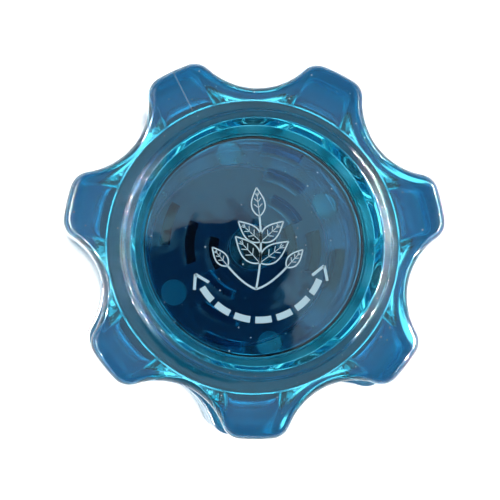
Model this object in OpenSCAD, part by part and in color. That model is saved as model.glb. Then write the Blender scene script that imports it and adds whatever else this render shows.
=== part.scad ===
// Seven-lobed twist grinder: storage cup, base with tooth plate, and a lid that turns on a glide ring.
// Millimetres, +Z up, origin at the centre of the underside.

/* [Lobed outline] */
// Number of lobes around the grip
lobes = 7; // [6:1:8]
// Distance from the axis to the lobe tips
tip_r = 33; // [32:0.5:35]
// Distance from the axis to the bottom of the finger scallops
valley_r = 26.8; // [26.6:0.1:27.4]
// Radius of the finger scallops
scallop_r = 12; // [11:0.5:13]
// Rounding of the lobe corners
corner_r = 3.4; // [3:0.2:3.8]
// How far the base and the cup are turned from the lid at rest
base_turn = -2; // [-10:1:10]

/* [Heights] */
// Height of the storage cup
cup_h = 13; // [11:0.5:20]
// Height of the lobed part of the base
base_h = 14; // [13:0.5:18]
// Height of the lid, from its lower edge to the top of the rim
lid_h = 15.2; // [15.2:0.2:18]
// Gap between the base and the lid
seam_gap = 0.3; // [0.2:0.1:0.5]

/* [Lid] */
// Depth of the recess in the top of the lid
recess_depth = 7; // [5:0.5:7]
// Radius of the recess at its floor, where the tooth disc sits
disc_bore_r = 19.3; // [19.3:0.1:19.6]
// Radius of the recess at its mouth
recess_mouth_r = 21.4; // [21:0.1:21.6]
// Width of the raised rim
rim_w = 1.6; // [1.2:0.1:2]
// Rounding where the top of the lid meets its sides
top_round = 1.2; // [0.8:0.1:2.4]

/* [Teeth] */
// Distance between one ring of teeth and the next
tooth_pitch = 2.1; // [2:0.05:2.15]
// Thickness of a tooth
tooth_w = 1.7; // [1.2:0.1:1.7]
// Height of a tooth
tooth_h = 6.5; // [5:0.5:6.5]
// Space between the tip of a tooth and the floor that it faces
tooth_tip_gap = 0.5; // [0.3:0.1:1]
// Width of a drop hole
drop_hole_d = 4.6; // [3:0.2:4.8]

/* [Magnets] */
// Side of the square magnets
magnet_w = 4.1; // [3:0.1:4.4]
// Height of the magnets
magnet_h = 3.5; // [2:0.1:3.5]
// Turn of the square magnets about the axis
magnet_turn = 17; // [0:1:90]

/* [Hidden] */
$fn = 96;

clear_blue = [0.06, 0.42, 0.56, 0.6];
eps = 0.01;
fit_gap = 0.05;
slip_gap = 0.02;

// Lobed outline
lobe_pitch = 360 / lobes;
first_lobe = -90;
scallop_c = valley_r + scallop_r;
corner_c = tip_r - corner_r;
corner_reach = scallop_r + corner_r;
corner_turn = acos((corner_c ^ 2 + scallop_c ^ 2 - corner_reach ^ 2) / (2 * corner_c * scallop_c));
tip_half = lobe_pitch / 2 - corner_turn;
corner_at = corner_c * [cos(tip_half), sin(tip_half)];
scallop_at = scallop_c * [cos(lobe_pitch / 2), sin(lobe_pitch / 2)];
corner_end = atan2(scallop_at.y - corner_at.y, scallop_at.x - corner_at.x);
corner_steps = 4;
scallop_steps = 7;

// Levels, from the underside up
cup_floor = 2.2;
lower_edge_round = 1.4;
seam_round = 0.6;
base_z = cup_h;
lid_z = base_z + base_h + seam_gap;
top_z = lid_z + lid_h;
rim_rise = 0.9;
deck_z = top_z - rim_rise;
top_round_h = 1.5 * top_round;
recess_z = top_z - recess_depth;
disc_t = 2;
ledge_t = 1;
disc_z = recess_z - disc_t;
socket_top_z = disc_z - ledge_t;
plate_t = 2.5;
plate_top_z = disc_z - tooth_h - tooth_tip_gap;
plate_z = plate_top_z - plate_t;

// Radii
cup_bore_r = 22;
lower_neck_r = 21.6;
lower_neck_h = 5;
drop_bore_r = 19.2;
chamber_r = 21;
neck_r = 24.6;
ring_t = 0.7;
ring_flange_t = 0.5;
socket_r = neck_r + ring_t + 2 * fit_gap;
neck_top_z = socket_top_z - ring_flange_t;
ledge_bore_r = disc_bore_r - 0.7;
seal_r = 0.7;
seal_c = cup_bore_r - fit_gap - seal_r;
seal_z = base_z - lower_neck_h / 2;
seal_groove_w = 1.6;

// Tooth rings, counted outwards from the innermost
first_ring_r = 6.85;
// Each tooth is [ring, angle of its middle, angle that it spans], and its twin stands opposite
lid_teeth = [[5, 73, 24], [3, 64, 31], [1, 49, 40]];
base_teeth = [[4, 167, 28], [2, 178, 38], [0, 191, 46]];
// Each drop hole is [distance from the axis, angle], and its twin lies opposite
drop_holes = [[15.5, 32], [17.2, 104]];

// Magnet posts
post_r = 4;
post_gap = 0.6;
magnet_cap_t = 0.8;
lid_post_z = (disc_z + plate_top_z + post_gap) / 2;
base_post_z = lid_post_z - post_gap;
lid_magnet_z = lid_post_z + magnet_cap_t;
base_magnet_z = base_post_z - magnet_cap_t - magnet_h;

function ring_r(ring) = first_ring_r + ring * tooth_pitch;

function arc(centre, radius, from, to, steps) = [
    for (i = [0:steps])
        let (a = from + (to - from) * i / steps)
        centre + radius * [cos(a), sin(a)]
];

function inner_points(points) = [for (i = [1:len(points) - 2]) points[i]];

function turned(p, a) = [p.x * cos(a) - p.y * sin(a), p.x * sin(a) + p.y * cos(a)];

function mirrored(points) = [
    for (i = [len(points) - 1:-1:0]) [points[i].x, -points[i].y]
];

// One lobe and the scallop after it, all drawn inwards by inset
function lobe(inset) =
    let (
        corner = arc(corner_at, corner_r - inset, tip_half, corner_end, corner_steps),
        tip = arc([0, 0], tip_r - inset, -tip_half, tip_half, 2),
        scallop_end = lobe_pitch - corner_end + 180,
        scallop = arc(scallop_at, scallop_r + inset, corner_end + 180, scallop_end, scallop_steps)
    )
    concat(mirrored(corner), inner_points(tip), corner, inner_points(scallop));

function outline(inset) = [
    for (i = [0:lobes - 1])
        for (p = lobe(inset))
            turned(p, first_lobe + i * lobe_pitch)
];

// Levels of an edge rounding, each [height, inset], going up
function lower_edge(z, inset, height, steps) = [
    for (i = [steps:-1:0]) [z + height * (1 - sin(90 * i / steps)), inset * (1 - cos(90 * i / steps))]
];

function upper_edge(z, inset, height, steps) = [
    for (i = [0:steps]) [z - height * (1 - sin(90 * i / steps)), inset * (1 - cos(90 * i / steps))]
];

module loft(levels) {
    outlines = [for (level = levels) [for (p = outline(level[1])) [p.x, p.y, level[0]]]];
    n = len(outlines[0]);
    last = len(outlines) - 1;
    sides = [
        for (k = [0:last - 1])
            for (i = [0:n - 1])
                let (next = (i + 1) % n)
                [k * n + i, (k + 1) * n + i, (k + 1) * n + next, k * n + next]
    ];
    bottom = [for (i = [0:n - 1]) i];
    top = [for (i = [n - 1:-1:0]) last * n + i];
    polyhedron(points = [for (points = outlines) each points], faces = concat([bottom], sides, [top]));
}

// A loft with its ends cut flat, so that each end is one plane
module lobed_solid(levels) {
    first = levels[0];
    last = levels[len(levels) - 1];
    intersection() {
        loft(concat([[first[0] - 1, first[1]]], levels, [[last[0] + 1, last[1]]]));
        translate([0, 0, first[0]]) cylinder(h = last[0] - first[0], r = tip_r + 1);
    }
}

module ring(inner_r, outer_r, z, h) {
    translate([0, 0, z])
        difference() {
            cylinder(h = h, r = outer_r);
            translate([0, 0, -eps]) cylinder(h = h + 2 * eps, r = inner_r);
        }
}

module tooth(tooth_ring, middle, span, h) {
    rotate([0, 0, middle - span / 2])
        rotate_extrude(angle = span)
            translate([ring_r(tooth_ring) - tooth_w / 2, 0])
                square([tooth_w, h]);
}

module tooth_set(teeth, h) {
    for (t = teeth)
        for (side = [0, 180])
            tooth(t[0], t[1] + side, t[2], h);
}

module square_bar(side, z, h) {
    rotate([0, 0, magnet_turn])
        translate([-side / 2, -side / 2, z])
            cube([side, side, h]);
}

module storage_cup() {
    levels = concat(
        lower_edge(0, lower_edge_round, lower_edge_round, 3),
        upper_edge(cup_h, seam_round, seam_round, 2)
    );
    color(clear_blue)
        rotate([0, 0, base_turn])
            difference() {
                lobed_solid(levels);
                translate([0, 0, cup_floor]) cylinder(h = cup_h, r = cup_bore_r);
            }
}

module cup_seal() {
    color("white")
        translate([0, 0, seal_z])
            rotate_extrude()
                translate([seal_c, 0])
                    circle(r = seal_r, $fn = 32);
}

module base_shell() {
    levels = concat(
        lower_edge(base_z, seam_round, seam_round, 2),
        upper_edge(base_z + base_h, seam_round, seam_round, 2)
    );
    neck_z = base_z - lower_neck_h;
    groove_r = seal_c - seal_r;
    color(clear_blue)
        rotate([0, 0, base_turn])
            difference() {
                union() {
                    lobed_solid(levels);
                    translate([0, 0, neck_z]) cylinder(h = lower_neck_h + 1, r = lower_neck_r);
                    translate([0, 0, lid_z - 1]) cylinder(h = neck_top_z - lid_z + 1, r = neck_r);
                }
                translate([0, 0, plate_z]) cylinder(h = top_z, r = chamber_r);
                translate([0, 0, neck_z - 1]) cylinder(h = top_z, r = drop_bore_r);
                ring(groove_r, lower_neck_r + 1, seal_z - seal_groove_w / 2, seal_groove_w);
            }
}

module base_tooth_plate() {
    color(clear_blue)
        rotate([0, 0, base_turn])
            difference() {
                union() {
                    translate([0, 0, plate_z]) cylinder(h = plate_t, r = chamber_r - fit_gap);
                    translate([0, 0, plate_top_z - eps]) tooth_set(base_teeth, tooth_h + eps);
                    translate([0, 0, plate_z]) cylinder(h = base_post_z - plate_z, r = post_r);
                }
                for (hole = drop_holes)
                    for (side = [0, 180])
                        rotate([0, 0, hole[1] + side])
                            translate([hole[0], 0, plate_z - 1])
                                cylinder(h = plate_t + 2, d = drop_hole_d);
                square_bar(magnet_w + 2 * fit_gap, plate_z - 1, base_magnet_z + magnet_h - plate_z + 1);
            }
}

module base_magnet() {
    color("dimgray")
        rotate([0, 0, base_turn])
            square_bar(magnet_w, base_magnet_z, magnet_h);
}

module base_magnet_cap() {
    color(clear_blue)
        rotate([0, 0, base_turn])
            square_bar(magnet_w, plate_z, base_magnet_z - plate_z);
}

module glide_ring() {
    outer_r = neck_r + fit_gap + ring_t;
    flange_z = neck_top_z + slip_gap;
    color("dimgray", 0.7)
        union() {
            ring(neck_r + fit_gap, outer_r, lid_z, flange_z - lid_z + eps);
            ring(chamber_r + 1, outer_r, flange_z, ring_flange_t - 2 * slip_gap);
        }
}

module lid_shell() {
    levels = concat(
        lower_edge(lid_z, seam_round, seam_round, 2),
        upper_edge(deck_z, top_round, top_round_h, 4)
    );
    rim_r = rim_w / 2;
    color(clear_blue)
        difference() {
            union() {
                lobed_solid(levels);
                translate([0, 0, top_z - rim_r])
                    rotate_extrude()
                        translate([recess_mouth_r + rim_r, 0])
                            circle(r = rim_r, $fn = 48);
            }
            translate([0, 0, lid_z - 1]) cylinder(h = socket_top_z - lid_z + 1, r = socket_r);
            translate([0, 0, disc_z]) cylinder(h = disc_t + eps, r = disc_bore_r);
            translate([0, 0, socket_top_z - 1]) cylinder(h = disc_z - socket_top_z + 2, r = ledge_bore_r);
            translate([0, 0, recess_z])
                cylinder(h = recess_depth + eps, r1 = disc_bore_r, r2 = recess_mouth_r);
        }
}

module lid_tooth_disc() {
    color(clear_blue)
        difference() {
            union() {
                translate([0, 0, disc_z]) cylinder(h = disc_t, r = disc_bore_r - fit_gap);
                translate([0, 0, disc_z - tooth_h]) tooth_set(lid_teeth, tooth_h + eps);
                translate([0, 0, lid_post_z]) cylinder(h = disc_z - lid_post_z + eps, r = post_r);
            }
            square_bar(magnet_w + 2 * fit_gap, lid_post_z - 1, magnet_cap_t + magnet_h + 1);
        }
}

module lid_magnet() {
    color("dimgray")
        square_bar(magnet_w, lid_magnet_z, magnet_h);
}

module lid_magnet_cap() {
    color(clear_blue)
        square_bar(magnet_w, lid_post_z, magnet_cap_t);
}

storage_cup();
cup_seal();
base_shell();
base_tooth_plate();
base_magnet();
base_magnet_cap();
glide_ring();
lid_shell();
lid_tooth_disc();
lid_magnet();
lid_magnet_cap();
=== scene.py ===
"""Looks of a clear blue lobed twist grinder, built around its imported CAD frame. Metres, +Z up.

Round and lobed pieces are lofted from a few profile points. Teeth are joined and pockets cut with booleans.
Every material is procedural.
"""

import math

import bmesh
import bpy
from mathutils import Matrix, Vector


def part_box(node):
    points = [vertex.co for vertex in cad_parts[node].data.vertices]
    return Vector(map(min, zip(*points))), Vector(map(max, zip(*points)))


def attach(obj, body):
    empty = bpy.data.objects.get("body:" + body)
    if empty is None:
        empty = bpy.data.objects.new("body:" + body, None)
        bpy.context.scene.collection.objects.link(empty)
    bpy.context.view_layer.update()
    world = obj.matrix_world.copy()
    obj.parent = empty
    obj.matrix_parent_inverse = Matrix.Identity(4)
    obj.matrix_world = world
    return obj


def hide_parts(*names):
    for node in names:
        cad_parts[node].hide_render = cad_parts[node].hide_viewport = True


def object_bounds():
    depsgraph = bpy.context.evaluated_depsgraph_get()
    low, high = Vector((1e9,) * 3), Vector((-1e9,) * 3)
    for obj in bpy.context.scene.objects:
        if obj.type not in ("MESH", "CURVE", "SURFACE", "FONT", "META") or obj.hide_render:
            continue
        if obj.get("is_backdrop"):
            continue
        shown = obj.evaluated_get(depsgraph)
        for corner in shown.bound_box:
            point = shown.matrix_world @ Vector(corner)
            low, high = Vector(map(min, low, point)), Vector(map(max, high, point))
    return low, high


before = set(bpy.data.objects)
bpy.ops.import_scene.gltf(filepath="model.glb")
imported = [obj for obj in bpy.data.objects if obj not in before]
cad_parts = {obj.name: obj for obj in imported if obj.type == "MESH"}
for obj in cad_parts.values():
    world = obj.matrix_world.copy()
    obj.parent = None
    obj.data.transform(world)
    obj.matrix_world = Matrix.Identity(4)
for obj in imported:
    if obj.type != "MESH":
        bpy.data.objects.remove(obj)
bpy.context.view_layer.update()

MM = 0.001

# Levels and radii that the frame gives
cup_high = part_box("storage_cup")[1]
base_low, base_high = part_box("base_shell")
ring_low, ring_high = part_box("glide_ring")
lid_low, lid_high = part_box("lid_shell")
disc_low, disc_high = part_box("lid_tooth_disc")
plate_low, plate_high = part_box("base_tooth_plate")
seal_low, seal_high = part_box("cup_seal")
lid_magnet_low, lid_magnet_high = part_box("lid_magnet")
base_magnet_low, base_magnet_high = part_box("base_magnet")
lid_cap_low, lid_cap_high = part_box("lid_magnet_cap")
base_cap_low, base_cap_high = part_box("base_magnet_cap")

SEAM_GAP = 0.3 * MM
LID_Z = lid_low.z
TOP_Z = lid_high.z
BASE_Z = cup_high.z
BASE_TOP_Z = LID_Z - SEAM_GAP
NECK_TOP_Z = base_high.z
LOWER_NECK_Z = base_low.z
DISC_R = disc_high.x
DISC_TOP_Z = disc_high.z
PLATE_R = plate_high.x
PLATE_Z = plate_low.z
RING_R = ring_high.x
SEAL_R = seal_high.x

# Lobed outline. The tips stay a little inside the frame's.
LOBES = 7
LOBE_PITCH = 2 * math.pi / LOBES
FIRST_LOBE = -math.pi / 2
TIP_R = -lid_low.y - 0.04 * MM
VALLEY_R = 26.8 * MM
SCALLOP_R = 12 * MM
CORNER_R = 3.4 * MM
BASE_TURN = math.radians(-2)

# Thicknesses and radii inside
DISC_T = 2 * MM
LEDGE_T = 1 * MM
PLATE_T = 2.5 * MM
CUP_FLOOR = 2.2 * MM
CUP_BORE_R = 22 * MM
LOWER_NECK_R = 21.6 * MM
DROP_BORE_R = 19.2 * MM
CHAMBER_R = 21 * MM
NECK_R = 24.6 * MM
SOCKET_R = RING_R + 0.05 * MM
DISC_Z = DISC_TOP_Z - DISC_T
SOCKET_TOP_Z = DISC_Z - LEDGE_T
PLATE_TOP_Z = PLATE_Z + PLATE_T
LEDGE_BORE_R = 18.6 * MM
RECESS_MOUTH_R = 21.4 * MM
RIM_W = 1.6 * MM
RIM_RISE = 0.9 * MM
DECK_Z = TOP_Z - RIM_RISE
BAND_R = RECESS_MOUTH_R + RIM_W + 0.3 * MM
DECK_FALL = 1.2 * MM
EDGE_INSET = 1.2 * MM
EDGE_DROP = 1.8 * MM
AIR = 0.05 * MM
SEAM_ROUND = 0.35 * MM
FIT = 0.05 * MM
FOOT_R = 18 * MM
FOOT_LIP = 0.6 * MM
FOOT_RISE = 0.35 * MM
GROOVE_R = SEAL_R - 1.4 * MM
GROOVE_AIR = 0.1 * MM
RING_BORE_R = CHAMBER_R + 1 * MM
RING_SEAT_Z = NECK_TOP_Z + 0.02 * MM

# Teeth are (ring, middle angle, spanned angle) and drop holes (distance out, angle), with angles in degrees.
# Each has a twin opposite.
FIRST_RING_R = 6.85 * MM
RING_PITCH = 2.1 * MM
TOOTH_W = 1.7 * MM
TOOTH_END_ROUND = 0.12 * MM
TOOTH_STEPS = 14
LID_TEETH = [(5, 73, 24), (3, 64, 31), (1, 49, 40)]
BASE_TEETH = [(4, 167, 28), (2, 178, 38), (0, 191, 46)]
DROP_HOLES = [(15.5 * MM, 32), (17.2 * MM, 104)]
DROP_HOLE_R = 2.3 * MM
POST_R = 4 * MM
POST_GAP = 0.6 * MM
MAGNET_W = 4.1 * MM
MAGNET_TURN = math.radians(17)
MAGNET_EDGE = 0.2 * MM
POCKET_EDGE = 0.1 * MM

# How far roots reach into what they join, and cutters past what they cut
ROOT = 0.4 * MM
CUT_PAST = 1 * MM

# Where the profiles of flat round pieces start, within their faces
PLATE_CORE_R = 5 * MM
POST_CORE_R = 1.5 * MM

ROUND_STEPS = 168
EDGE_STEPS = 9
DECK_STEPS = 10
SEAL_STEPS = 28
WELD_GAP = 0.003 * MM


# ---------------------------------------------------------------- geometry helpers

def polar(radius, angle):
    return Vector((radius * math.cos(angle), radius * math.sin(angle)))


def arc(centre, radius, start, end, steps):
    return [centre + polar(radius, start + (end - start) * i / steps) for i in range(steps + 1)]


def lobe(inset):
    """One lobe and the scallop after it, drawn inwards by inset."""
    scallop_c = VALLEY_R + SCALLOP_R
    corner_c = TIP_R - CORNER_R
    reach = SCALLOP_R + CORNER_R
    turn = math.acos((corner_c**2 + scallop_c**2 - reach**2) / (2 * corner_c * scallop_c))
    tip_half = LOBE_PITCH / 2 - turn
    corner_at = polar(corner_c, tip_half)
    scallop_at = polar(scallop_c, LOBE_PITCH / 2)
    toward = scallop_at - corner_at
    corner_end = math.atan2(toward.y, toward.x)
    corner = arc(corner_at, CORNER_R - inset, tip_half, corner_end, 9)
    lower = [Vector((p.x, -p.y)) for p in reversed(corner)]
    tip = arc(Vector((0, 0)), TIP_R - inset, -tip_half, tip_half, 6)
    scallop = arc(scallop_at, SCALLOP_R + inset, corner_end + math.pi, LOBE_PITCH - corner_end + math.pi, 22)
    return lower + tip[1:-1] + corner + scallop[1:-1]


def outline(inset, turn=0.0):
    """The whole lobed outline, counter-clockwise."""
    points = []
    for i in range(LOBES):
        spin = Matrix.Rotation(FIRST_LOBE + turn + i * LOBE_PITCH, 2)
        points += [spin @ p for p in lobe(inset)]
    return points


def rounded(points, steps=4):
    """A closed profile with its corners rounded. Each point is (across, up, radius of its corner).

    The last point's neighbour is the first, so the ends of an open profile are right only with radius 0.
    """
    made = []
    for i, (across, up, radius) in enumerate(points):
        corner = Vector((across, up))
        if radius == 0:
            made.append(corner)
            continue
        before = (Vector(points[i - 1][:2]) - corner).normalized()
        after = (Vector(points[(i + 1) % len(points)][:2]) - corner).normalized()
        half = before.angle(after) / 2
        centre = corner + (before + after).normalized() * (radius / math.sin(half))
        start = corner + before * (radius / math.tan(half)) - centre
        end = corner + after * (radius / math.tan(half)) - centre
        sweep = math.atan2(start.x * end.y - start.y * end.x, start.dot(end))
        made += [centre + Matrix.Rotation(sweep * k / steps, 2) @ start for k in range(steps + 1)]
    return made


def new_object(name, verts, faces):
    mesh = bpy.data.meshes.new(name)
    mesh.from_pydata([tuple(v) for v in verts], [], faces)
    mesh.validate()
    mesh.update()
    obj = bpy.data.objects.new(name, mesh)
    bpy.context.scene.collection.objects.link(obj)
    return obj


def side_faces(rings, closed):
    """The faces between each ring of points and the next."""
    count = len(rings[0])
    spans = len(rings) if closed else len(rings) - 1
    faces = []
    for k in range(spans):
        low = k * count
        high = ((k + 1) % len(rings)) * count
        for i in range(count):
            nxt = (i + 1) % count
            faces.append((low + i, low + nxt, high + nxt, high + i))
    return faces


def skin(name, rings, closed):
    """A solid through rings of points, each ring the same length. An open one gets a pole at each end."""
    count = len(rings[0])
    verts = [p for ring in rings for p in ring]
    faces = side_faces(rings, closed)
    if not closed:
        for k, order in ((0, -1), (len(rings) - 1, 1)):
            pole = len(verts)
            verts.append(Vector((0, 0, rings[k][0].z)))
            base = k * count
            for i in range(count):
                pair = (base + i, base + (i + 1) % count)
                faces.append((*pair[::order], pole))
    obj = new_object(name, verts, faces)
    orient(obj)
    return obj


def capped_skin(name, rings):
    """A solid through rings of points, with one flat face at each end."""
    count = len(rings[0])
    verts = [p for ring in rings for p in ring]
    faces = side_faces(rings, closed=False)
    faces.append(tuple(range(count)))
    faces.append(tuple((len(rings) - 1) * count + i for i in reversed(range(count))))
    obj = new_object(name, verts, faces)
    orient(obj)
    return obj


def orient(obj):
    """Turns the faces outwards and smooths them."""
    mesh = obj.data
    bm = bmesh.new()
    bm.from_mesh(mesh)
    bmesh.ops.recalc_face_normals(bm, faces=bm.faces)
    bm.to_mesh(mesh)
    bm.free()
    mesh.shade_smooth()


def circle_ring(radius, z, angles):
    return [Vector((radius * math.cos(a), radius * math.sin(a), z)) for a in angles]


def round_solid(name, profile, closed):
    """A turned piece from a profile of (radius, height)."""
    angles = [2 * math.pi * i / ROUND_STEPS for i in range(ROUND_STEPS)]
    return skin(name, [circle_ring(p.x, p.y, angles) for p in profile], closed)


def round_slab(name, radius, core_r, start, end):
    """A flat round piece between two faces, each (height, radius of its edge)."""
    profile = rounded([(core_r, start[0], 0), (radius, *start), (radius, *end), (core_r, end[0], 0)])
    return round_solid(name, profile, closed=False)


def lobed_rings(stations, turn):
    """Rings of a lobed wall from stations of (inset, height)."""
    return [[Vector((p.x, p.y, s.y)) for p in outline(s.x, turn)] for s in stations]


def blend_rings(inset, radius, z_of, weights, turn):
    """Rings that go from the lobed outline at inset to a circle, at a height given by the weight."""
    rings = []
    for weight in weights:
        ring = []
        for p in outline(inset, turn):
            on_circle = p.normalized() * radius
            q = p.lerp(on_circle, weight)
            ring.append(Vector((q.x, q.y, z_of(weight, q.length))))
        rings.append(ring)
    return rings


def outline_angles(turn):
    return [math.atan2(p.y, p.x) for p in outline(0, turn)]


def apply_modifiers(obj):
    graph = bpy.context.evaluated_depsgraph_get()
    mesh = bpy.data.meshes.new_from_object(obj.evaluated_get(graph))
    obj.modifiers.clear()
    obj.data = mesh


def boolean(obj, other, operation):
    modifier = obj.modifiers.new(operation, "BOOLEAN")
    modifier.object = other
    modifier.operation = operation
    modifier.solver = "EXACT"
    apply_modifiers(obj)
    bpy.data.objects.remove(other)


def join(name, objects):
    """One object from several whose meshes don't touch."""
    verts, faces = [], []
    for obj in objects:
        start = len(verts)
        verts += [v.co.copy() for v in obj.data.vertices]
        faces += [tuple(start + i for i in p.vertices) for p in obj.data.polygons]
        bpy.data.objects.remove(obj)
    return new_object(name, verts, faces)


def weld(obj):
    """Merges the points that booleans leave almost on top of each other."""
    bm = bmesh.new()
    bm.from_mesh(obj.data)
    bmesh.ops.remove_doubles(bm, verts=bm.verts, dist=WELD_GAP)
    bmesh.ops.dissolve_degenerate(bm, edges=bm.edges, dist=WELD_GAP)
    bm.to_mesh(obj.data)
    bm.free()


def finish_sharp(obj, angle=35):
    """Smooth faces with edges sharper than the angle kept crisp."""
    weld(obj)
    obj.data.shade_smooth()
    obj.data.set_sharp_from_angle(angle=math.radians(angle))
    modifier = obj.modifiers.new("weighted_normals", "WEIGHTED_NORMAL")
    modifier.keep_sharp = True
    modifier.weight = 80


# ---------------------------------------------------------------- materials

PLASTIC_IOR = 1.49
PATCH_SCALE = 150
FLOW_SCALE = 110
FLOW_DEPTH = 0.6 * MM
HAIR_SCALE = (6000, 260, 260)
HAIR_TURN = (0.3, 0.2, 0.9)
HAIR_STRENGTH = 0.005
HAIR_DEPTH = 0.05 * MM
DUST_SCALE = 520
DUST_SIZE = 0.085
DUST_SHARE = 0.5
DUST_COLOUR = (0.75, 0.82, 0.85)
GRAIN_DEPTH = 0.02 * MM
SCRATCH_ANGLE = math.radians(116)
SCRATCH_SPAN = (25.1 * MM, 32.6 * MM)
SCRATCH_W = 0.07 * MM
SCRATCH_STRENGTH = 0.4

# Roughness, lowest and highest
POLISHED = (0.03, 0.05)
MIRROR = (0.005, 0.012)
SATIN = (0.16, 0.26)


def new_material(name):
    material = bpy.data.materials.new(name)
    material.use_nodes = True
    nodes = material.node_tree.nodes
    nodes.clear()
    output = nodes.new("ShaderNodeOutputMaterial")
    return material, nodes, material.node_tree.links, output


def object_coords(nodes):
    return nodes.new("ShaderNodeTexCoord").outputs["Object"]


def noise(nodes, links, coords, scale, detail=3.0, distortion=0.0):
    node = nodes.new("ShaderNodeTexNoise")
    node.inputs["Scale"].default_value = scale
    node.inputs["Detail"].default_value = detail
    node.inputs["Distortion"].default_value = distortion
    links.new(coords, node.inputs["Vector"])
    return node.outputs["Fac"]


def remap(nodes, links, value, low_in, high_in, low_out, high_out):
    node = nodes.new("ShaderNodeMapRange")
    node.inputs["From Min"].default_value = low_in
    node.inputs["From Max"].default_value = high_in
    node.inputs["To Min"].default_value = low_out
    node.inputs["To Max"].default_value = high_out
    links.new(value, node.inputs["Value"])
    return node.outputs["Result"]


def maths(nodes, links, operation, first, second=0):
    node = nodes.new("ShaderNodeMath")
    node.operation = operation
    for socket, value in zip(node.inputs, (first, second)):
        if isinstance(value, (int, float)):
            socket.default_value = value
        else:
            links.new(value, socket)
    return node.outputs["Value"]


def split_xyz(nodes, links, vector):
    node = nodes.new("ShaderNodeSeparateXYZ")
    links.new(vector, node.inputs["Vector"])
    return node.outputs


def distance(nodes, links, across, up):
    """The length of the vector (across, up)."""
    squares = [maths(nodes, links, "POWER", value, 2) for value in (across, up)]
    return maths(nodes, links, "SQRT", maths(nodes, links, "ADD", *squares))


def bump(nodes, links, height, strength, distance, before=None):
    node = nodes.new("ShaderNodeBump")
    node.inputs["Strength"].default_value = strength
    node.inputs["Distance"].default_value = distance
    links.new(height, node.inputs["Height"])
    if before is not None:
        links.new(before, node.inputs["Normal"])
    return node.outputs["Normal"]


def colour_between(nodes, links, value, first, second):
    node = nodes.new("ShaderNodeValToRGB")
    node.color_ramp.elements[0].color = (*first, 1)
    node.color_ramp.elements[1].color = (*second, 1)
    links.new(value, node.inputs["Fac"])
    return node.outputs["Color"]


def stretched(nodes, links, coords, scale, turn):
    node = nodes.new("ShaderNodeMapping")
    node.inputs["Scale"].default_value = scale
    node.inputs["Rotation"].default_value = turn
    links.new(coords, node.inputs["Vector"])
    return node.outputs["Vector"]


def specks(nodes, links, coords, scale, size, share):
    """A mask of a few tiny dots: near a cell's point, in the given share of cells."""
    node = nodes.new("ShaderNodeTexVoronoi")
    node.inputs["Scale"].default_value = scale
    links.new(coords, node.inputs["Vector"])
    near = remap(nodes, links, node.outputs["Distance"], size * 0.6, size, 1, 0)
    split = nodes.new("ShaderNodeSeparateColor")
    links.new(node.outputs["Color"], split.inputs["Color"])
    chosen = remap(nodes, links, split.outputs["Red"], 1 - share, 1 - share + 0.001, 0, 1)
    return maths(nodes, links, "MULTIPLY", near, chosen)


def within(nodes, links, value, low, high, soft):
    """A mask that is 1 where the value lies between low and high."""
    rise = remap(nodes, links, value, low - soft, low + soft, 0, 1)
    fall = remap(nodes, links, value, high - soft, high + soft, 1, 0)
    return maths(nodes, links, "MULTIPLY", rise, fall)


def inner_face_mask(nodes, links, coords):
    """Covers the lid's underside and the socket that the ring sits in, which the mould leaves satin."""
    at = split_xyz(nodes, links, coords)
    radius = distance(nodes, links, at["X"], at["Y"])
    underside = maths(nodes, links, "LESS_THAN", at["Z"], LID_Z + 0.4 * MM)
    low = maths(nodes, links, "LESS_THAN", at["Z"], SOCKET_TOP_Z + 0.2 * MM)
    near = maths(nodes, links, "LESS_THAN", radius, SOCKET_R + 0.2 * MM)
    return maths(nodes, links, "MAXIMUM", underside, maths(nodes, links, "MULTIPLY", low, near))


def scratch_mask(nodes, links, coords):
    """One hairline scratch on the deck, from the edge of a lobe towards the rim."""
    turned = nodes.new("ShaderNodeMapping")
    turned.vector_type = "TEXTURE"
    turned.inputs["Rotation"].default_value = (0, 0, SCRATCH_ANGLE)
    links.new(coords, turned.inputs["Vector"])
    at = split_xyz(nodes, links, turned.outputs["Vector"])
    along = within(nodes, links, at["X"], *SCRATCH_SPAN, 0.3 * MM)
    line = within(nodes, links, at["Y"], -SCRATCH_W, SCRATCH_W, SCRATCH_W / 2)
    top = within(nodes, links, at["Z"], DECK_Z - 2 * MM, TOP_Z, 0.1 * MM)
    return maths(nodes, links, "MULTIPLY", maths(nodes, links, "MULTIPLY", along, line), top)


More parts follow.
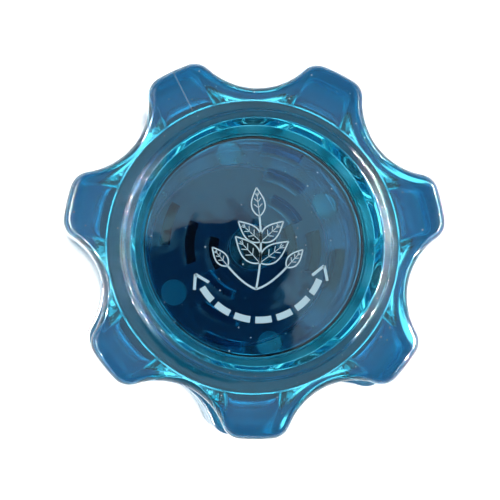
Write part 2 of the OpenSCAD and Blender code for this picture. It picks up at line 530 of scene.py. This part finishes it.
def clear_plastic(name, tints, absorb_colour, density, gloss, waviness=0.1, is_lid=False):
    """Clear tinted plastic: faint flow waves, hair scratches, patchy gloss and a little dust.

    The lid's also has satin inner faces and one longer scratch.
    """
    material, nodes, links, output = new_material(name)
    coords = object_coords(nodes)
    shader = nodes.new("ShaderNodeBsdfPrincipled")
    shader.inputs["Transmission Weight"].default_value = 1.0
    shader.inputs["IOR"].default_value = PLASTIC_IOR
    patches = noise(nodes, links, coords, PATCH_SCALE, 3)
    links.new(colour_between(nodes, links, patches, *tints), shader.inputs["Base Color"])
    polish = remap(nodes, links, patches, 0.35, 0.75, *gloss)
    flow = bump(nodes, links, noise(nodes, links, coords, FLOW_SCALE, 1, 0.8), waviness, FLOW_DEPTH)
    hairs = noise(nodes, links, stretched(nodes, links, coords, HAIR_SCALE, HAIR_TURN), 1, 2)
    links.new(bump(nodes, links, hairs, HAIR_STRENGTH, HAIR_DEPTH, flow), shader.inputs["Normal"])
    dust = specks(nodes, links, coords, DUST_SCALE, DUST_SIZE, DUST_SHARE)
    if is_lid:
        satin = maths(nodes, links, "MULTIPLY", inner_face_mask(nodes, links, coords), SATIN[0])
        polish = maths(nodes, links, "ADD", polish, satin)
        scratch = maths(nodes, links, "MULTIPLY", scratch_mask(nodes, links, coords), SCRATCH_STRENGTH)
        dust = maths(nodes, links, "MAXIMUM", dust, scratch)
    links.new(polish, shader.inputs["Roughness"])
    powder = nodes.new("ShaderNodeBsdfDiffuse")
    powder.inputs["Color"].default_value = (*DUST_COLOUR, 1)
    mixed = nodes.new("ShaderNodeMixShader")
    links.new(dust, mixed.inputs["Fac"])
    links.new(shader.outputs["BSDF"], mixed.inputs[1])
    links.new(powder.outputs["BSDF"], mixed.inputs[2])
    links.new(mixed.outputs["Shader"], output.inputs["Surface"])
    volume = nodes.new("ShaderNodeVolumeAbsorption")
    volume.inputs["Color"].default_value = (*absorb_colour, 1)
    volume.inputs["Density"].default_value = density
    links.new(volume.outputs["Volume"], output.inputs["Volume"])
    return material


def solid_material(name, colours, roughness, metallic=0.0, grain=900, transmission=0.0, specular=0.5):
    """An opaque or cloudy material with patchy colour and gloss and a fine grain."""
    material, nodes, links, output = new_material(name)
    coords = object_coords(nodes)
    shader = nodes.new("ShaderNodeBsdfPrincipled")
    shader.inputs["Metallic"].default_value = metallic
    shader.inputs["Transmission Weight"].default_value = transmission
    shader.inputs["Specular IOR Level"].default_value = specular
    patches = noise(nodes, links, coords, 400, 4)
    links.new(colour_between(nodes, links, patches, *colours), shader.inputs["Base Color"])
    links.new(remap(nodes, links, patches, 0.3, 0.7, *roughness), shader.inputs["Roughness"])
    fine = noise(nodes, links, coords, grain, 5)
    links.new(bump(nodes, links, fine, 0.3, GRAIN_DEPTH), shader.inputs["Normal"])
    links.new(shader.outputs["BSDF"], output.inputs["Surface"])
    return material


def assign(obj, material, slot, body, *nodes):
    obj.data.materials.clear()
    obj.data.materials.append(material)
    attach(obj, body)
    if nodes:
        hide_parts(*nodes)


# ---------------------------------------------------------------- pieces

def edge_profile(z_low, z_high, low_round, high_round):
    """Stations of (inset, height) up a lobed wall, from its lower flat face to its upper one."""
    flat = 1.2 * max(low_round, high_round)
    return rounded([(flat, z_low, 0), (0, z_low, low_round), (0, z_high, high_round), (flat, z_high, 0)])


def bridge(inset, radius, z, turn):
    """Rings across a flat face, from the lobed outline at inset to a circle."""
    return blend_rings(inset, radius, lambda weight, r: z, (0.35, 0.7), turn)


def round_rings(profile, turn):
    angles = outline_angles(turn)
    return [circle_ring(p.x, p.y, angles) for p in profile]


def make_storage_cup():
    wall = edge_profile(0, BASE_Z, 1.4 * MM, SEAM_ROUND)
    rings = lobed_rings(wall, BASE_TURN)
    rings += bridge(wall[-1].x, CUP_BORE_R + 0.4 * MM, BASE_Z, BASE_TURN)
    bore = rounded([
        (CUP_BORE_R + 2 * MM, BASE_Z, 0),
        (CUP_BORE_R, BASE_Z, 0.35 * MM),
        (CUP_BORE_R, CUP_FLOOR, 1.8 * MM),
        (CUP_BORE_R * 0.5, CUP_FLOOR, 0),
    ])
    rings += round_rings(bore[1:], BASE_TURN)
    # Known fault: this open profile starts with a radius, so the foot's edge is misshapen underneath.
    foot = rounded([
        (FOOT_R, 0, 0.3 * MM),
        (FOOT_R - FOOT_LIP, FOOT_RISE, 0.3 * MM),
        (8 * MM, FOOT_RISE, 0),
    ])
    under = round_rings(list(reversed(foot)), BASE_TURN)
    return skin("storage_cup_moulding", under + rings, closed=False)


def make_base_shell():
    foot_z = BASE_Z + AIR
    wall = edge_profile(foot_z, BASE_TOP_Z, SEAM_ROUND, SEAM_ROUND)
    neck = rounded([
        (NECK_R, BASE_TOP_Z, 0.3 * MM),
        (NECK_R, NECK_TOP_Z, 0.35 * MM),
        (CHAMBER_R, NECK_TOP_Z, 0.35 * MM),
        (CHAMBER_R, PLATE_Z, 0.3 * MM),
        (DROP_BORE_R, PLATE_Z, 0.2 * MM),
        (DROP_BORE_R, LOWER_NECK_Z, 0.4 * MM),
        (LOWER_NECK_R, LOWER_NECK_Z, 0.4 * MM),
        (LOWER_NECK_R, seal_low.z - GROOVE_AIR, 0.1 * MM),
        (GROOVE_R, seal_low.z - GROOVE_AIR, 0.15 * MM),
        (GROOVE_R, seal_high.z + GROOVE_AIR, 0.15 * MM),
        (LOWER_NECK_R, seal_high.z + GROOVE_AIR, 0.1 * MM),
        (LOWER_NECK_R, foot_z, 0.3 * MM),
    ])
    rings = lobed_rings(wall, BASE_TURN)
    rings += bridge(wall[-1].x, NECK_R, BASE_TOP_Z, BASE_TURN)
    rings += round_rings(neck, BASE_TURN)
    rings += reversed(bridge(wall[0].x, LOWER_NECK_R, foot_z, BASE_TURN))
    return skin("base_moulding", rings, closed=True)


def deck_height(weight, radius):
    """The lid's top falls gently from the band beside the rim to the lobe tips."""
    fall = max(0.0, (radius - BAND_R) / (TIP_R - BAND_R))
    return DECK_Z - DECK_FALL * fall**2


def make_lid_shell():
    low = rounded([(1.2 * MM, LID_Z, 0), (0, LID_Z, SEAM_ROUND), (0, TOP_Z, 0)])[:-1]
    rings = lobed_rings(low, 0)
    for i in range(EDGE_STEPS + 1):
        turn = math.pi / 2 * i / EDGE_STEPS
        inset = EDGE_INSET * (1 - math.cos(turn))
        z = DECK_Z - EDGE_DROP * (1 - math.sin(turn))
        ring = []
        for p in outline(inset):
            sag = DECK_Z - deck_height(0, p.length)
            ring.append(Vector((p.x, p.y, z - sag)))
        rings.append(ring)
    weights = [i / DECK_STEPS for i in range(1, DECK_STEPS + 1)]
    rings += blend_rings(EDGE_INSET, BAND_R, deck_height, weights, 0)
    # Known fault: this open profile ends with a radius, so the socket's mouth rounds about 4 mm too high and
    # the skirt's underside slants up to it.
    inner = rounded([
        (BAND_R, DECK_Z, 0),
        (RECESS_MOUTH_R + RIM_W, DECK_Z, 0.25 * MM),
        (RECESS_MOUTH_R + RIM_W, TOP_Z, 0.7 * MM),
        (RECESS_MOUTH_R, TOP_Z, 0.7 * MM),
        (RECESS_MOUTH_R - 0.25 * MM, TOP_Z - 1.6 * MM, 0.5 * MM),
        (DISC_R + FIT + 0.25 * MM, DISC_TOP_Z + 0.5 * MM, 0.3 * MM),
        (DISC_R + FIT, DISC_TOP_Z - 0.1 * MM, 0.2 * MM),
        (DISC_R + FIT, DISC_Z, 0.1 * MM),
        (LEDGE_BORE_R, DISC_Z, 0.15 * MM),
        (LEDGE_BORE_R, SOCKET_TOP_Z, 0.3 * MM),
        (SOCKET_R, SOCKET_TOP_Z, 0.62 * MM),
        (SOCKET_R, LID_Z, 0.3 * MM),
    ])[1:]
    rings += round_rings(inner, 0)
    return skin("lid_moulding", rings, closed=True)


def tooth(ring, middle, span, z_root, z_tip):
    """A curved tooth with square ends and a little draft, from z_root to z_tip."""
    radius = FIRST_RING_R + ring * RING_PITCH
    half_w = TOOTH_W / 2
    half_l = math.radians(span) / 2 * radius
    levels = [(0, 0), (0.97, 0.02 * MM), (1, 0.12 * MM)]
    rings = []
    for share, inset in levels:
        across, along = half_w - inset, half_l - inset
        corners = [(-across, -along), (across, -along), (across, along), (-across, along)]
        points = rounded([(*corner, TOOTH_END_ROUND) for corner in corners], 5)
        z = z_root + (z_tip - z_root) * share
        rings.append(tooth_ring(points, radius, math.radians(middle), z, along))
    return rings


def tooth_ring(points, radius, middle, z, half_l):
    """Bends a rounded rectangle round the axis, with its long sides cut into short steps."""
    made = []
    for i, p in enumerate(points):
        nxt = points[(i + 1) % len(points)]
        made.append(p)
        if abs(nxt.y - p.y) > half_l:
            made += [p.lerp(nxt, k / TOOTH_STEPS) for k in range(1, TOOTH_STEPS)]
    ring = []
    for p in made:
        spot = polar(radius + p.x, middle + p.y / radius)
        ring.append(Vector((spot.x, spot.y, z)))
    return ring


def tooth_set(teeth, turn, z_root, z_tip):
    made = []
    for ring, middle, span in teeth:
        for side in (0, 180):
            angle = middle + side + math.degrees(turn)
            made.append(capped_skin("tooth", tooth(ring, angle, span, z_root, z_tip)))
    obj = join("teeth", made)
    orient(obj)
    return obj


def rounded_bar(name, width, z_low, z_high, turn, edge):
    """A square bar on the axis with rounded edges."""
    half = width / 2
    corners = [(-half, -half), (half, -half), (half, half), (-half, half)]
    sides = rounded([(*corner, edge) for corner in corners], 3)
    spin = Matrix.Rotation(turn, 2)
    levels = [(z_low, edge), (z_low + edge * 0.3, edge * 0.3), (z_low + edge, 0)]
    levels += [(z_high - edge, 0), (z_high - edge * 0.3, edge * 0.3), (z_high, edge)]
    rings = []
    for z, inset in levels:
        shrink = (half - inset) / half
        rings.append([Vector((*(spin @ (p * shrink)), z)) for p in sides])
    return capped_skin(name, rings)


def add_post(obj, z_root, z_tip):
    """Joins the round post that holds the magnet."""
    boolean(obj, round_slab("post", POST_R, POST_CORE_R, (z_root, 0.1 * MM), (z_tip, 0.4 * MM)), "UNION")


def cut_pocket(obj, z_mouth, z_end, turn):
    """Cuts the magnet's square pocket, from its mouth upwards."""
    pocket = rounded_bar("pocket", MAGNET_W + 2 * FIT, z_mouth - CUT_PAST, z_end, turn, POCKET_EDGE)
    boolean(obj, pocket, "DIFFERENCE")


def make_tooth_disc():
    disc = round_slab(
        "lid_tooth_disc_moulding", DISC_R, PLATE_CORE_R, (DISC_Z, 0.15 * MM), (DISC_TOP_Z, 0.3 * MM)
    )
    root_z = DISC_Z + ROOT
    boolean(disc, tooth_set(LID_TEETH, 0, root_z, disc_low.z), "UNION")
    add_post(disc, root_z, lid_cap_low.z)
    cut_pocket(disc, lid_cap_low.z, lid_magnet_high.z + FIT, MAGNET_TURN)
    finish_sharp(disc)
    return disc


def make_tooth_plate():
    plate = round_slab(
        "base_tooth_plate_moulding", PLATE_R, PLATE_CORE_R, (PLATE_Z, 0.2 * MM), (PLATE_TOP_Z, 0.3 * MM)
    )
    root_z = PLATE_TOP_Z - ROOT
    boolean(plate, tooth_set(BASE_TEETH, BASE_TURN, root_z, plate_high.z), "UNION")
    add_post(plate, root_z, lid_cap_low.z - POST_GAP)
    cut_pocket(plate, PLATE_Z, base_magnet_high.z + FIT, MAGNET_TURN + BASE_TURN)
    drill_ends = [Vector((DROP_HOLE_R, z)) for z in (PLATE_Z - CUT_PAST, PLATE_TOP_Z + CUT_PAST)]
    for reach, angle in DROP_HOLES:
        for side in (0, 180):
            at = polar(reach, math.radians(angle + side) + BASE_TURN)
            drill = round_solid("drill", drill_ends, closed=False)
            drill.data.transform(Matrix.Translation((at.x, at.y, 0)))
            boolean(plate, drill, "DIFFERENCE")
    finish_sharp(plate)
    return plate


def make_glide_ring():
    inner_r = NECK_R + FIT
    profile = rounded([
        (inner_r, ring_low.z, 0.2 * MM),
        (RING_R, ring_low.z, 0.2 * MM),
        (RING_R, ring_high.z, 0.68 * MM),
        (RING_BORE_R, ring_high.z, 0.12 * MM),
        (RING_BORE_R, RING_SEAT_Z, 0.12 * MM),
        (inner_r, RING_SEAT_Z, 0.1 * MM),
    ])
    return round_solid("glide_ring_moulding", profile, closed=True)


def make_cup_seal():
    """A soft ring with a hair of mould flash round its waist."""
    centre = Vector((SEAL_R - 0.7 * MM, (seal_low.z + seal_high.z) / 2))
    profile = []
    for i in range(SEAL_STEPS):
        turn = 2 * math.pi * i / SEAL_STEPS
        flash = 0.04 * MM * math.exp(-((math.sin(turn) / 0.15) ** 2))
        profile.append(centre + polar(0.66 * MM + flash, turn))
    return round_solid("cup_seal_ring", profile, closed=True)


# ---------------------------------------------------------------- print on the disc

INK_LOW = DISC_TOP_Z + 0.01 * MM
INK_HIGH = DISC_TOP_Z + 0.05 * MM
INK_W = 0.24 * MM
FINE_INK_W = 0.13 * MM
STEM_W = 0.34 * MM
LEAF_W = 0.24
LEAF_SPREAD = 48
LEAF_STEPS = 16
STEM_STEPS = 24

# Sprigs are (tip, bend, pairs of leaves, leaf length), in millimetres
SPRIG_ROOT = (0.3, -7.4)
SPRIGS = [
    ((0.9, 5.2), (1.0, 0), 2, 6.2),
    ((-4.6, -3.4), (0.2, -1.2), 0, 5.2),
    ((5.6, -3.6), (-0.2, -1.2), 0, 5.2),
]
ARROW_AT = (0.8, -1.4)
ARROW_R = 11.3 * MM
ARROW_SPAN = (math.radians(208), math.radians(340))
ARROW_REACH = 2.1 * MM
DASHES = 7
DASH_SHARE = 0.76
DASH_W = 1.15 * MM
WING_W = 0.5 * MM


def stroke(points, width):
    """Vertices and faces of a flat inked line through points."""
    verts, faces = [], []
    last = len(points) - 1
    for i, p in enumerate(points):
        along = (points[min(i + 1, last)] - points[max(i - 1, 0)]).normalized()
        side = Vector((-along.y, along.x)) * width / 2
        for q in (p - side, p + side):
            verts += [Vector((q.x, q.y, INK_LOW)), Vector((q.x, q.y, INK_HIGH))]
    for i in range(last):
        a, b = 4 * i, 4 * (i + 1)
        faces += [(a + 1, b + 1, b + 3, a + 3), (a, a + 2, b + 2, b)]
        faces += [(a, b, b + 1, a + 1), (a + 2, a + 3, b + 3, b + 2)]
    end = 4 * last
    faces += [(0, 1, 3, 2), (end, end + 2, end + 3, end + 1)]
    return verts, faces


def leaf_strokes(root, angle, length):
    """A pointed leaf's outline, its midrib and short veins."""
    spin = Matrix.Rotation(angle, 2)

    def spot(t, side):
        return root + spin @ Vector((t * length, side * LEAF_W * length * math.sin(math.pi * t**0.75)))

    shares = [i / LEAF_STEPS for i in range(LEAF_STEPS + 1)]
    lines = [([spot(t, side) for t in shares], INK_W) for side in (-1, 1)]
    lines.append(([spot(t * 0.82, 0) for t in shares], FINE_INK_W))
    for share in (0.3, 0.5, 0.68):
        for side in (-0.62, 0.62):
            lines.append(([spot(share, 0), spot(share + 0.13, side)], FINE_INK_W))
    return lines


def sprig_strokes(root, tip, bend, pairs, leaf):
    """A curved stem with pairs of leaves that shrink towards its tip, and one leaf at the end."""
    middle = (root + tip) / 2 + bend

    def spot(t):
        return root * (1 - t) ** 2 + middle * 2 * t * (1 - t) + tip * t**2

    lines = [([spot(i / STEM_STEPS) for i in range(STEM_STEPS + 1)], STEM_W)]
    for k in range(pairs):
        t = 0.36 + 0.58 * k / pairs
        ahead = spot(t + 0.02) - spot(t)
        heading = math.atan2(ahead.y, ahead.x)
        size = leaf * (1 - 0.3 * k / pairs)
        for side in (-1, 1):
            lines += leaf_strokes(spot(t), heading + side * math.radians(LEAF_SPREAD), size)
    ahead = tip - spot(0.98)
    lines += leaf_strokes(tip, math.atan2(ahead.y, ahead.x), leaf * 0.8)
    return lines


def make_print():
    """A bunch of three herb sprigs over a double-headed twist arrow."""
    root = Vector(SPRIG_ROOT) * MM
    lines = []
    for tip, bend, pairs, leaf in SPRIGS:
        lines += sprig_strokes(root, Vector(tip) * MM, Vector(bend) * MM, pairs, leaf * MM)
    verts, faces = [], []
    for line, width in lines:
        add_stroke(verts, faces, line, width)
    centre = Vector(ARROW_AT) * MM
    start, end = ARROW_SPAN
    dash = (end - start) / DASHES
    for k in range(DASHES):
        low = start + dash * (k + (1 - DASH_SHARE) / 2)
        add_stroke(verts, faces, arc(centre, ARROW_R, low, low + dash * DASH_SHARE, 12), DASH_W)
    for angle, side in ((start, -1), (end, 1)):
        at = centre + polar(ARROW_R, angle)
        ahead = polar(1, angle + side * math.pi / 2)
        across = polar(1, angle)
        wings = [at + across * w * MM - ahead * 0.2 * MM for w in (-1.4, 1.4)]
        tip = at + ahead * ARROW_REACH
        for wing in wings:
            add_stroke(verts, faces, [wing, tip], WING_W)
    return new_object("disc_print", verts, faces)


def add_stroke(verts, faces, line, width):
    made, shapes = stroke(line, width)
    start = len(verts)
    verts += made
    faces += [tuple(start + i for i in face) for face in shapes]


# ---------------------------------------------------------------- stage, lights and camera

ZENITH_LIGHT = 1.25
MIDDLE_LIGHT = 0.5
HORIZON_LIGHT = 0.75
ZENITH_FADE = (0.88, 0.97)
HORIZON_FADE = (0.3, 0.6)
SKY_COLOUR = (0.82, 0.98, 1.1)
FLOOR_LIGHT = 3.6
FLOOR_HALF = 1.2
FLOOR_STEPS = 8
FLOOR_Z = -0.2 * MM
FLOOR_COLOURS = ((0.93, 0.935, 0.94), (0.95, 0.95, 0.955))
SHADE_AT = (0.058, 0.008)
SHADE_R = 0.06
SHADE_WAVE = 0.011
SHADE_LEVEL = 0.02
LAMPS = 13
LAMP_ROW = 0.66
LAMP_SHIFT = 0.03
LAMP_X = 0.42
LAMP_Z = 0.32
LAMP_SIZE = 0.011
LAMP_POWER = 12
CAMERA_AZIMUTH = math.radians(-62)
CAMERA_ELEVATION = math.radians(84.2)
CAMERA_DISTANCE = 0.30
CAMERA_LENS = 125
CAMERA_AIM = (-0.65 * MM, -0.6 * MM, TOP_Z - 8 * MM)


def make_floor():
    """A wide pale grid just below the foot."""
    marks = [(i / FLOOR_STEPS - 0.5) * 2 * FLOOR_HALF for i in range(FLOOR_STEPS + 1)]
    verts = [Vector((x, y, FLOOR_Z)) for y in marks for x in marks]
    faces = []
    for j in range(FLOOR_STEPS):
        for i in range(FLOOR_STEPS):
            a = j * len(marks) + i
            faces.append((a, a + 1, a + len(marks) + 1, a + len(marks)))
    floor = new_object("floor", verts, faces)
    pale = solid_material("pale_floor", FLOOR_COLOURS, (0.6, 0.75), grain=300, specular=0)
    floor.data.materials.append(pale)
    floor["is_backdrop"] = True
    return floor


def glint_lamp(name, at):
    """A small square lamp aimed at the lid, seen only in the first surface that a ray meets."""
    data = bpy.data.lights.new(name, "AREA")
    data.shape = "RECTANGLE"
    data.size, data.size_y = LAMP_SIZE, LAMP_SIZE
    data.energy = LAMP_POWER
    data.cycles.max_bounces = 0
    lamp = bpy.data.objects.new(name, data)
    lamp.location = at
    lamp.rotation_euler = (Vector((0, 0, TOP_Z)) - at).to_track_quat("-Z", "Y").to_euler()
    lamp.visible_diffuse = False
    bpy.context.scene.collection.objects.link(lamp)


def make_world():
    """An even white studio, with the dim round shape of the camera and its stand overhead."""
    world = bpy.data.worlds.new("studio")
    world.use_nodes = True
    nodes = world.node_tree.nodes
    links = world.node_tree.links
    background = nodes["Background"]
    direction = nodes.new("ShaderNodeTexCoord").outputs["Generated"]
    at = split_xyz(nodes, links, direction)
    wave = noise(nodes, links, direction, 40, 2)
    along = maths(nodes, links, "DIVIDE", at["X"], at["Z"])
    up = maths(nodes, links, "DIVIDE", at["Y"], at["Z"])
    reach = maths(nodes, links, "SUBTRACT", along, SHADE_AT[0])
    rise = maths(nodes, links, "SUBTRACT", up, SHADE_AT[1])
    away = distance(nodes, links, reach, rise)
    away = maths(nodes, links, "ADD", away, remap(nodes, links, wave, 0.3, 0.7, -SHADE_WAVE, SHADE_WAVE))
    below = maths(nodes, links, "LESS_THAN", at["Z"], 0)
    shade = remap(nodes, links, away, SHADE_R, SHADE_R + 0.001, SHADE_LEVEL, 1)
    cap = remap(nodes, links, at["Z"], *ZENITH_FADE, MIDDLE_LIGHT, ZENITH_LIGHT)
    walls = remap(nodes, links, at["Z"], *HORIZON_FADE, HORIZON_LIGHT, MIDDLE_LIGHT)
    sky = maths(nodes, links, "MAXIMUM", cap, walls)
    level = maths(nodes, links, "MAXIMUM", shade, below)
    links.new(maths(nodes, links, "MULTIPLY", level, sky), background.inputs["Strength"])
    background.inputs["Color"].default_value = (*SKY_COLOUR, 1)
    bpy.context.scene.world = world


def make_lights(floor):
    """A broad lamp that brightens only the floor, and two rows of small lamps that only glint."""
    data = bpy.data.lights.new("floor_lamp", "SUN")
    data.energy = FLOOR_LIGHT
    data.angle = math.radians(4)
    data.cycles.use_multiple_importance_sampling = False
    lamp = bpy.data.objects.new("floor_lamp", data)
    bpy.context.scene.collection.objects.link(lamp)
    lit = bpy.data.collections.new("floor_only")
    lit.objects.link(floor)
    lamp.light_linking.receiver_collection = lit
    for side in (-1, 1):
        for i in range(LAMPS):
            y = (i / (LAMPS - 1) - 0.5) * LAMP_ROW + LAMP_SHIFT
            glint_lamp(f"glint_{side}_{i}", Vector((side * LAMP_X, y, LAMP_Z)))


def make_camera():
    """A long lens almost straight above, tilted a little towards -X and -Y, with +Y up in the picture."""
    back = Vector((
        math.sin(CAMERA_AZIMUTH) * math.cos(CAMERA_ELEVATION),
        -math.cos(CAMERA_AZIMUTH) * math.cos(CAMERA_ELEVATION),
        math.sin(CAMERA_ELEVATION),
    ))
    right = Vector((0, 1, 0)).cross(back).normalized()
    up = back.cross(right)
    data = bpy.data.cameras.new("camera")
    data.lens = CAMERA_LENS
    data.clip_start = 0.01
    camera = bpy.data.objects.new("camera", data)
    turn = Matrix((right, up, back)).transposed()
    spot = Vector(CAMERA_AIM) + back * CAMERA_DISTANCE
    camera.matrix_world = Matrix.Translation(spot) @ turn.to_4x4()
    bpy.context.scene.collection.objects.link(camera)
    bpy.context.scene.camera = camera


# ---------------------------------------------------------------- build

bpy.context.scene.view_settings.view_transform = "Standard"
bpy.context.scene.cycles.max_bounces = 32
bpy.context.scene.cycles.transmission_bounces = 32
bpy.context.scene.cycles.glossy_bounces = 8

BODY_TINTS = ((0.36, 0.77, 0.96), (0.42, 0.81, 0.98))
BODY_ABSORB = (0.05, 0.975, 0.995)
DISC_TINTS = ((0.68, 0.93, 0.99), (0.74, 0.95, 0.995))
lid_blue = clear_plastic("lid_blue_plastic", BODY_TINTS, BODY_ABSORB, 100, POLISHED, is_lid=True)
base_blue = clear_plastic("base_blue_plastic", BODY_TINTS, BODY_ABSORB, 100, SATIN)
disc_blue = clear_plastic("disc_blue_plastic", DISC_TINTS, (0.1, 0.78, 0.9), 260, MIRROR, waviness=0.05)
deep_blue = clear_plastic(
    "deep_blue_plastic", ((0.5, 0.8, 0.9), (0.56, 0.84, 0.93)), (0.1, 0.32, 0.5), 600, POLISHED
)
ring_plastic = solid_material(
    "smoky_ring_plastic",
    ((0.2, 0.27, 0.31), (0.25, 0.33, 0.37)),
    (0.3, 0.42),
    grain=1800,
    transmission=0.55,
)
magnet_black = solid_material(
    "magnet_black", ((0.012, 0.012, 0.015), (0.03, 0.03, 0.034)), (0.18, 0.35), 0.6
)
seal_rubber = solid_material(
    "clear_seal_rubber", ((0.6, 0.68, 0.7), (0.7, 0.77, 0.79)), (0.35, 0.5), grain=1500, transmission=0.3
)
ink = solid_material(
    "pale_print_ink", ((0.84, 0.97, 0.99), (0.9, 0.99, 1.0)), (0.45, 0.65), grain=2500, specular=0
)

assign(make_storage_cup(), base_blue, "clear_blue_plastic", "cup", "storage_cup")
assign(make_base_shell(), base_blue, "clear_blue_plastic", "base", "base_shell")
assign(make_tooth_plate(), deep_blue, "clear_blue_plastic", "base", "base_tooth_plate")
assign(make_cup_seal(), seal_rubber, "clear_seal", "base", "cup_seal")
assign(make_glide_ring(), ring_plastic, "clear_ring", "ring", "glide_ring")
assign(make_lid_shell(), lid_blue, "clear_blue_plastic", "lid", "lid_shell")
assign(make_tooth_disc(), disc_blue, "clear_blue_plastic", "lid", "lid_tooth_disc")
assign(make_print(), ink, "pale_print", "lid")

bars = [
    ("lid_magnet", "lid", lid_magnet_low.z, lid_magnet_high.z, magnet_black, "magnet_black"),
    ("lid_magnet_cap", "lid", lid_cap_low.z, lid_cap_high.z - FIT, disc_blue, "clear_blue_plastic"),
    ("base_magnet", "base", base_magnet_low.z, base_magnet_high.z, magnet_black, "magnet_black"),
    ("base_magnet_cap", "base", base_cap_low.z, base_cap_high.z - FIT, deep_blue, "clear_blue_plastic"),
]
body_turns = {"lid": 0, "base": BASE_TURN}
for node, body, low, high, material, slot in bars:
    turn = MAGNET_TURN + body_turns[body]
    bar = rounded_bar(node + "_block", MAGNET_W, low, high, turn, MAGNET_EDGE)
    finish_sharp(bar, 50)
    assign(bar, material, slot, body, node)

make_world()
make_lights(make_floor())
make_camera()

low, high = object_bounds()
